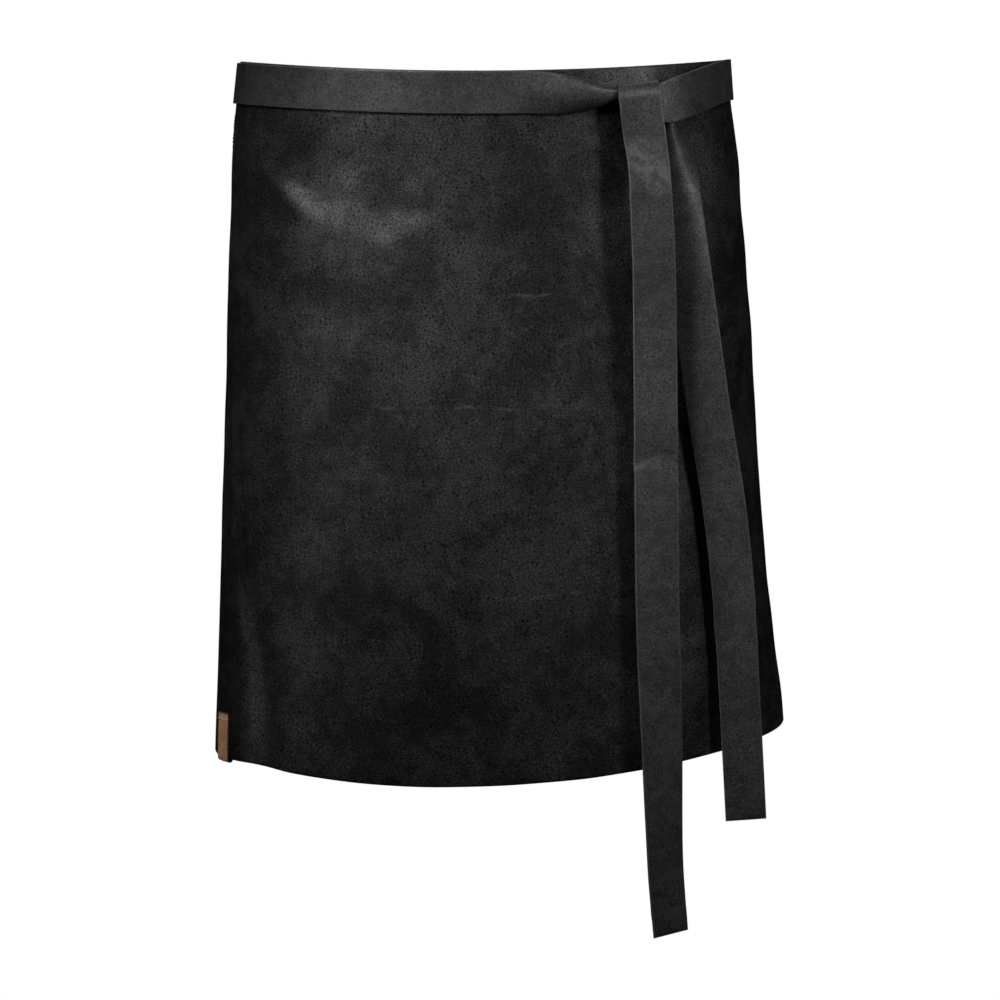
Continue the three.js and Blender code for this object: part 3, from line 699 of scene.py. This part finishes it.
RIGHT_TIE = np.array([
    (730, SEWN, 52, 0, 0, -1, 30, 0, 4),
    (675, SEWN, 51, 0, 0, -1, 30, 0, 4),
    (630, 1.8, 49, 0, 0, -1, 30, 0, 5),
    (516, 2.4, 33, 0, 0, -1, 30, 0, 5),
    (400, 2.2, 17.5, 0, 0, -1, 30, 0, 4),
    (360, LAID, 16.5, 0, 0, -1, 30, 0, 10),
    (250, LAID, 15.3, 0, 0, -1, 30, 0, 4),
    (212, LAID, 15.3, 0, 0, -1, 30, 0, 2),
    (193.5, 2.4, 16, 0, 0, -1, 30, 0, 2),
    (180, 4.4, 17.3, 0, 0, -1, 30, 0, 2),
    (157.7, 10.6, 20.8, 0, 0, -1, 30.5, 0, 2),
    (145.3, 15.3, 23.4, 0, 0, -1, 30.5, 0, 2),
    (136.1, 17, 25.6, 0, 0, -1, 30.5, 0, 2),
    (127.5, 17.2, 28.2, 0, 0, -1, 30.5, 0, 2),
    (119.5, 16.9, 28.3, 0.25, 0, -0.97, 25, 0, 2),
    (112.5, 15.2, 29.5, 0.6, -0.25, -0.75, 21, 0, 2),
    (109, 12, 30.5, 0.9, -0.2, -0.35, 20, 0, 2),
    (107.8, 8.2, 29, 1, 0, 0, 20, 0, 2),
    (107.5, 4.3, 25, 1, 0, 0, 22, 0, 2),
    (107.5, 2.8, 20, 1, 0, 0, 26, 0, 2),
    (107.4, 4.6, 15.2, 1, 0, 0, 29, 0, 2),
    (107.2, 9.2, 13.2, 1, 0, 0.08, 30, 0, 2),
    (106.4, 15.5, 14.6, 1, 0.1, 0.08, 30, 0, 2),
    (105.4, 19.7, 18.6, 1, 0.17, 0.08, 30, 0, 2),
    (104.7, 22.3, 24.2, 1, 0.19, 0.05, 30.5, 0, 2),
    (105.2, 23.9, 33.5, 1, 0.2, 0, 30.5, 0, 2),
    (107, 25.1, 50.3, 1, 0.28, 0, 30.5, 0, 2),
    (108.4, 27.7, 66, 1, 0.33, 0, 29.5, 0, 2),
    (109.2, 29.5, 79, 1, 0.33, 0, 29.7, 0, 2),
    (109.9, 30.4, 94.8, 1, 0.32, 0, 30, 0, 2),
    (112, 29.4, 130, 1, 0.31, 0, 30.5, 0, 2),
    (114.5, 26, 169.4, 1, 0.3, 0, 31, 0, 4),
    (118.4, 20.2, 281.2, 1, 0.3, 0, 31.5, 0, 4),
    (121.3, 17.2, 393.3, 1, 0.3, 0, 31.5, 0, 4),
    (126, 15.2, 501.4, 1, 0, 0, 31, 0, 4),
    (129.4, 14, 587, 1, -0.25, 0, 30.5, 0, 3),
    (134.1, 13, 641, 1, -0.27, 0, 30, 0, 1),
])
RIGHT_MARKS = [(355, 1.5, 6), (20, 0.6, 3)]
right_tie, right_long = strap("right_strap", RIGHT_TIE, RIGHT_MARKS)
# Pale at the creases, and dark where scuffed near the free end. The broad pale patch below the knot is a
# painted highlight, and at the crease 355 mm from the free end a pale patch and a dark line are a painted
# highlight and painted shade.
RIGHT_STROKES_AND_HIGHLIGHTS = [
    # Painted highlight: broad pale patch where the tie bulges out below the knot.
    ((-16, right_long - 580), (20, right_long - 536), 17.0, 0.8),
    # Painted highlight: pale patch on the lit side of the crease 355 mm from the free end.
    ((-22, right_long - 347), (6, right_long - 346), 6.0, 0.6),
    ((-10, right_long - 160), (12, right_long - 190), 3.0, 0.4),
    ((-6, right_long - 58), (13, right_long - 66), 2.0, 0.45),
    ((-14, right_long - 24), (14, right_long - 18), 1.3, 0.5),
]
RIGHT_SCUFFS_AND_SHADE = [
    ((-13, right_long - 34), (2, right_long - 30), 4.0, 0.7),
    ((-12, right_long - 27), (10, right_long - 22), 1.6, 0.8),
    # Painted shade: dark line in the crease 355 mm from the free end.
    ((-22, right_long - 355), (22, right_long - 354), 1.8, 0.7),
]
right_grain = strap_leather("right strap hide", RIGHT_STROKES_AND_HIGHLIGHTS, RIGHT_SCUFFS_AND_SHADE)
for finish in (right_grain, strap_flesh, strap_cut):
    right_tie.data.materials.append(finish)
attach(right_tie, "root")
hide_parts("right_tie")

# Root stitching: each strap's root is sewn to the inside of a rear corner with waxed black thread, in a box
# with a cross in it. The stitches show on the panel's outer face and on the strap inside.

THREAD, STITCH, STITCH_GAP = 0.75, 3.4, 1.0
# Rings along a stitch and points round it. Its half-width, half-height, lift off the leather and dive at the
# ends are shares of the thread, and the last number keeps its ends from closing to a point.
STITCH_RINGS, STITCH_TURNS = 9, 8
HALF_WIDE, HALF_HIGH, LIFT, DIVE, THIN_END = 0.5, 0.42, 0.12, 0.55, 0.02


def stitch_line(points):
    """Middles and directions of the stitches along a line of (round, drop) corners."""
    made = []
    for one, two in zip(points[:-1], points[1:]):
        one, two = np.array(one, float), np.array(two, float)
        count = max(1, round(np.linalg.norm(two - one) / (STITCH + STITCH_GAP)))
        way = (two - one) / count
        made += [(one + way * (k + 0.5), way / np.linalg.norm(way)) for k in range(count)]
    return made


def stitches(name, seats, thick):
    """Threads lying on a surface: seats are (middle, along, out, length) in mm, and each stitch is a bead
    with a round back that dives into the leather at both ends."""
    spots, quads = [], []
    rings, turns = STITCH_RINGS, STITCH_TURNS
    for middle, along, out, long in seats:
        side = np.cross(out, along)
        first = len(spots)
        for k in range(rings):
            t = 2 * k / (rings - 1) - 1
            swell = math.sqrt(max(THIN_END, 1 - t**6))
            sink = DIVE * thick * t**4
            for m in range(turns):
                angle = 2 * math.pi * m / turns
                off = math.cos(angle) * side * HALF_WIDE + math.sin(angle) * out * HALF_HIGH
                lifted = out * (LIFT * thick - sink)
                spots.append(middle + along * t * long / 2 + off * thick * swell + lifted)
        for k in range(rings - 1):
            for m in range(turns):
                a, b = first + k * turns + m, first + k * turns + (m + 1) % turns
                quads.append((a, b, b + turns, a + turns))
        quads.append(tuple(first + m for m in reversed(range(turns))))
        quads.append(tuple(first + (rings - 1) * turns + m for m in range(turns)))
    mesh = bpy.data.meshes.new(name)
    mesh.from_pydata((np.array(spots) * MM).tolist(), [], quads)
    mesh.polygons.foreach_set("use_smooth", np.ones(len(quads), bool))
    mesh.update()
    made = bpy.data.objects.new(name, mesh)
    bpy.context.scene.collection.objects.link(made)
    return made


def thread(name, dark, pale):
    """Waxed twisted thread."""
    material, tree, shader = start_material(name, {"Specular IOR Level": 0.35})
    where = put(tree, "TexCoord").outputs["Object"]
    twist = put(tree, "TexNoise", {"Vector": where, "Scale": 2600.0, "Detail": 2.0}).outputs["Fac"]
    colour = tint(tree, ramp(tree, twist, 0.3, 0.7), (*dark, 1), (*pale, 1))
    tree.links.new(colour, shader.inputs["Base Color"])
    tree.links.new(ramp(tree, twist, 0.2, 0.8, 0.75, 0.5), shader.inputs["Roughness"])
    bump = put(tree, "Bump", {"Strength": 0.6, "Distance": 0.0002, "Height": twist})
    tree.links.new(bump.outputs["Normal"], shader.inputs["Normal"])
    return material


def seat_on_panel(round_, drop, way, inside, long):
    """Where a stitch lies on the panel's outer face, or on the strap that is sewn inside it."""
    along, out, up = compass(round_, drop)
    lift = float(panel_relief(round_, drop)) if not inside else SEWN - LEATHER / 2
    middle = place(round_, lift, drop)
    return middle, unit(along * way[0] - up * way[1]), (-out if inside else out), long


# Corner, from and to round the form, and from and to below the top edge.
ROOT_BOXES = [("right", 308, 340, 40, 63), ("left", -257, -225, 40, 63)]
black_thread = thread("black thread", (0.008, 0.008, 0.008), (0.028, 0.028, 0.028))
for corner, start, stop, high, low in ROOT_BOXES:
    corners = [(start, high), (stop, high), (stop, low), (start, low)]
    lines = stitch_line(corners + [corners[0], corners[2]])
    lines += stitch_line([corners[3], corners[1]])
    for side in ("outer", "inner"):
        seats = [seat_on_panel(at[0], at[1], way, side == "inner", STITCH) for at, way in lines]
        sewn = stitches(f"{corner}_root_stitches_{side}", seats, THREAD)
        sewn.data.materials.append(black_thread)
        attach(sewn, "root")

# Hem label: a strip of brown vegetable-tanned leather, 20 mm wide, folded over the hem near the left corner
# and sewn through near its upper edge with pale thread. Its face is bare.

LABEL_THICK = 1.2
LABEL_WIDE, LABEL_TALL, LABEL_AT, LABEL_GAP = 20.0, 34.0, -218.0, 0.3
# Pieces across the strip, rows on each face and round the bend, and how far the bend hangs below the hem.
LABEL_SPLITS, LABEL_ROWS, BEND_ROWS, LABEL_HANG = 16, 18, 13, 0.4
# The seam below the strip's upper edge, its stitches' places across the strip, their length and their thread.
LABEL_SEAM, LABEL_STEPS, LABEL_STITCH, LABEL_THREAD = 4.6, (-7.2, -2.4, 2.4, 7.2), 4.5, 1.4
LABEL_DARK, LABEL_PALE = (0.38, 0.17, 0.09, 1), (0.62, 0.3, 0.17, 1)
LABEL_GRAIN, LABEL_RUBBED = (0.74, 0.41, 0.25, 1), (0.12, 0.06, 0.04, 1)
label_front = LABEL_GAP + LABEL_THICK / 2
label_back = -LEATHER - 2 * LABEL_GAP - LABEL_THICK / 2
label_bend = (label_front - label_back) / 2
label_path = [
    (label_front, PANEL_DROP - LABEL_TALL * (1 - k / LABEL_ROWS), 0.0)
    for k in range(LABEL_ROWS)
]
label_path += [
    (
        (label_front + label_back) / 2 + label_bend * math.cos(turn),
        PANEL_DROP + LABEL_HANG + label_bend * math.sin(turn),
        turn,
    )
    for turn in np.linspace(0, math.pi, BEND_ROWS)
]
label_path += [
    (label_back, PANEL_DROP - LABEL_TALL * k / LABEL_ROWS, math.pi)
    for k in range(1, LABEL_ROWS + 1)
]
label_round = LABEL_AT + LABEL_WIDE * np.linspace(-0.5, 0.5, LABEL_SPLITS + 1)


def label_row(out, drop, turn):
    """One row across the strip, as its points and the ways they face."""
    along, face, up = compass(label_round, drop)
    off = out + panel_relief(label_round, min(drop, PANEL_DROP))
    at = form(label_round, drop) + face * off[:, None]
    return at, face * math.cos(turn) - up * math.sin(turn)


label_rows = [label_row(*row) for row in label_path]
label_middle = np.array([row[0] for row in label_rows])
label_facing = np.array([row[1] for row in label_rows])
label_length = np.linalg.norm(np.diff(label_middle[:, LABEL_SPLITS // 2], axis=0), axis=1)
label_length = np.concatenate([[0.0], np.cumsum(label_length)])
label_flat = np.stack(np.meshgrid(label_round - LABEL_AT, label_length), axis=-1)
label_edge = np.minimum(
    LABEL_WIDE / 2 - np.abs(label_flat[..., 0]),
    np.minimum(label_flat[..., 1], label_length[-1] - label_flat[..., 1]),
)
label = leather_sheet(
    "hem_tab", label_middle, label_facing, label_flat, label_edge, LABEL_THICK, soften=0.3
)


def brown_leather(name):
    """Brown tanned leather: warm patches, a smooth fine grain and darker rubbed edges."""
    material, tree, shader = start_material(name, {"Specular IOR Level": 0.45})
    flat = put(tree, "UVMap", uv_map="flat").outputs[0]
    grain = put(tree, "Group", {"Flat": flat, "Wrinkles": 1300.0}, node_tree=hide_grain).outputs["Height"]
    tone = put(tree, "Group", {"Flat": flat, "Patches": 90.0}, node_tree=wax_clouds).outputs["Tone"]
    colour = tint(tree, tone, LABEL_DARK, LABEL_PALE)
    colour = tint(tree, work_out(tree, "MULTIPLY", grain, 0.3), colour, LABEL_GRAIN)
    edge = put(tree, "Attribute", attribute_name="edge").outputs["Fac"]
    colour = tint(tree, ramp(tree, edge, 0.0, 1.1, 0.6, 0.0), colour, LABEL_RUBBED)
    tree.links.new(colour, shader.inputs["Base Color"])
    tree.links.new(ramp(tree, tone, 0.0, 1.0, 0.6, 0.44), shader.inputs["Roughness"])
    bump = put(tree, "Bump", {"Strength": 0.5, "Distance": 0.0001, "Height": grain})
    tree.links.new(bump.outputs["Normal"], shader.inputs["Normal"])
    return material


label.data.materials.append(brown_leather("brown tanned leather"))
label.data.materials.append(flesh_leather("label flesh side", (0.13, 0.075, 0.05), (0.2, 0.12, 0.08)))
label.data.materials.append(cut_leather("label cut edge", (0.09, 0.045, 0.03), (0.2, 0.11, 0.07)))
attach(label, "root")
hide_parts("hem_label")

label_seats = []
for step in LABEL_STEPS:
    for inside in (False, True):
        at_round, at_drop = LABEL_AT + step, PANEL_DROP - LABEL_TALL + LABEL_SEAM
        along, out, up = compass(at_round, at_drop)
        lift = label_back - LABEL_THICK / 2 if inside else label_front + LABEL_THICK / 2
        spot = place(at_round, lift + float(panel_relief(at_round, at_drop)), at_drop)
        label_seats.append((spot, along, -out if inside else out, LABEL_STITCH))
label_seam = stitches("hem_tab_stitches", label_seats, LABEL_THREAD)
label_seam.data.materials.append(thread("pale thread", (0.42, 0.36, 0.3), (0.66, 0.6, 0.53)))
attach(label_seam, "root")

# Studio: a plain white floor far below the hanging apron, and white all round it. Lamps stand on the right
# and far out at the sides, narrow beams rake over the hide from the left, and two lamps behind light the back
# and the inside. The camera is 2.5 m in front and looks down by 7 degrees. All of it is in metres.

FLOOR_Z, FLOOR_REACH = -0.95, 30.0
FLOOR_GREY, SKY_GLOW = (0.12, 0.12, 0.12, 1), 0.006
WHITE = (1, 1, 1, 1)
CAMERA_AT, CAMERA_TILT = (0.0115, -2.5, 0.0), 83
CAMERA_LENS, CAMERA_SENSOR, CAMERA_SEES = 120.42, 36.0, 100.0
scene = bpy.context.scene
scene.view_settings.view_transform = "Standard"

floor_mesh = bpy.data.meshes.new("floor")
floor_corners = [
    (aside * FLOOR_REACH, ahead * FLOOR_REACH, FLOOR_Z)
    for aside, ahead in ((-1, -1), (1, -1), (1, 1), (-1, 1))
]
floor_mesh.from_pydata(floor_corners, [], [(0, 1, 2, 3)])
floor = bpy.data.objects.new("floor", floor_mesh)
scene.collection.objects.link(floor)
matt = {"Base Color": FLOOR_GREY, "Roughness": 0.9, "Specular IOR Level": 0.0}
floor_paint, floor_tree, floor_shader = start_material("white floor", matt)
glow = put(floor_tree, "Emission", {"Color": WHITE, "Strength": 1.0})
seen = put(floor_tree, "LightPath").outputs["Is Camera Ray"]
shown = put(floor_tree, "MixShader", {0: seen, 1: floor_shader.outputs[0], 2: glow.outputs[0]})
floor_tree.links.new(shown.outputs[0], floor_tree.nodes["Material Output"].inputs["Surface"])
floor_mesh.materials.append(floor_paint)
floor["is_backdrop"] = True

world = bpy.data.worlds.new("studio")
scene.world = world
world.use_nodes = True
sky = world.node_tree
sky_light = sky.nodes["Background"]
sky_light.inputs["Color"].default_value = WHITE
sky_light.inputs["Strength"].default_value = SKY_GLOW
sky_white = put(sky, "Background", {"Color": WHITE, "Strength": 1.0})
sky_seen = put(sky, "LightPath").outputs["Is Camera Ray"]
sky_shown = put(sky, "MixShader", {0: sky_seen, 1: sky_light.outputs[0], 2: sky_white.outputs[0]})
sky.links.new(sky_shown.outputs[0], sky.nodes["World Output"].inputs["Surface"])

# Name, place, aim, width, height, spread of the light in degrees, and power in watts.
LAMPS = [
    ("left high beam", (-0.506, -0.768, 0.719), (-0.12, -0.1, -0.2), 0.26, 0.26, 28, 0.36),
    ("left beam", (-0.789, -0.769, 0.539), (-0.12, -0.1, -0.2), 0.26, 0.26, 28, 0.125),
    ("tie end beam", (-0.424, -0.925, 0.488), (0.14, -0.12, -0.2), 0.26, 0.26, 28, 0.3),
    ("low tie end beam", (-0.748, -0.865, 0.111), (0.14, -0.12, -0.2), 0.26, 0.26, 18, 0.11),
    ("tab beam", (-0.95, -0.7, -0.42), (-0.235, -0.03, -0.49), 0.26, 0.26, 28, 0.03),
    ("far left", (-1.159, -0.1, 0.4), (-0.12, -0.1, -0.2), 0.26, 0.26, 180, 0.35),
    ("right", (0.888, -0.855, 0.29), (0.05, -0.1, -0.12), 0.26, 0.26, 180, 3.7),
    ("low right", (0.938, -0.9, -0.225), (0.05, -0.1, -0.12), 0.26, 0.26, 180, 0.85),
    ("far right", (1.16, -0.15, 0.1), (0.12, -0.1, -0.2), 0.26, 0.26, 180, 0.15),
    ("right high", (0.523, -0.525, 0.898), (0.05, -0.1, -0.12), 0.26, 0.26, 180, 4.5),
    ("back", (0.0, 1.7, 1.2), (0.0, 0.0, -0.2), 0.4, 1.0, 180, 2.2),
    ("low back", (0.0, 1.7, -0.15), (0.0, 0.0, -0.2), 0.3, 1.0, 180, 22.0),
]
for lamp_name, spot, aim, wide, tall, spread, watts in LAMPS:
    lamp = bpy.data.lights.new(lamp_name, "AREA")
    lamp.shape, lamp.size, lamp.size_y, lamp.energy = "RECTANGLE", wide, tall, watts
    lamp.spread = math.radians(spread)
    holder = bpy.data.objects.new(lamp_name, lamp)
    scene.collection.objects.link(holder)
    holder.location = spot
    holder.visible_camera = False
    towards = Vector(aim) - Vector(spot)
    holder.rotation_euler = towards.to_track_quat("-Z", "Y").to_euler()

camera_data = bpy.data.cameras.new("camera")
camera_data.sensor_width = CAMERA_SENSOR
camera_data.lens = CAMERA_LENS
camera_data.clip_end = CAMERA_SEES
camera = bpy.data.objects.new("camera", camera_data)
scene.collection.objects.link(camera)
camera.location = CAMERA_AT
camera.rotation_euler = (math.radians(CAMERA_TILT), 0, 0)
scene.camera = camera

low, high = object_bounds()
